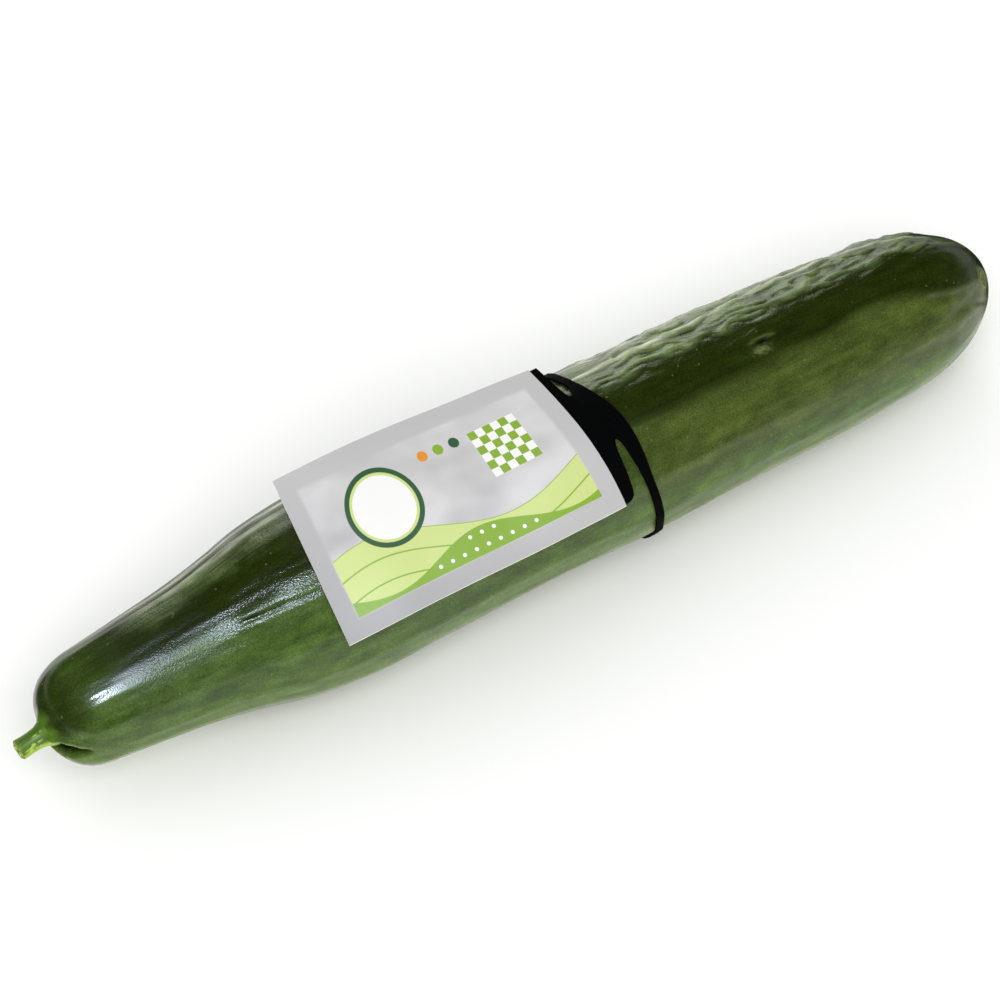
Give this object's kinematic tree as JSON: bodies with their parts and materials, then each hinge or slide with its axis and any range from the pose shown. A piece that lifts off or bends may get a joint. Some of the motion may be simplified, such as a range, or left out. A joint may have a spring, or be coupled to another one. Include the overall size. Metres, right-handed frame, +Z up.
{
  "type": "cucumber",
  "caption": "Long smooth cucumber with a short cut stem, lying on its side, with a bent card label held on it by a black elastic band.",
  "frame": {"origin": "on the surface that the cucumber lies on, under the middle of the whole object's box", "axes": "+X along the fruit from the stem end to the blossom end, +Z up"},
  "size_m": [0.3093, 0.0554, 0.0659],
  "materials": {
    "skin": "waxy dark green skin, mottled and finely grained, glossy at the stem end and wrinkled at the other",
    "stem": "ribbed yellow-green stalk with a pale dry cut end",
    "elastic": "matt black moulded elastic",
    "card": "silver-grey coated card with a printed pattern in light green and white"
  },
  "bodies": {
    "root": {"fruit": "skin", "stem": "stem", "elastic_band": "elastic", "label": "card"}
  },
  "joints": []
}
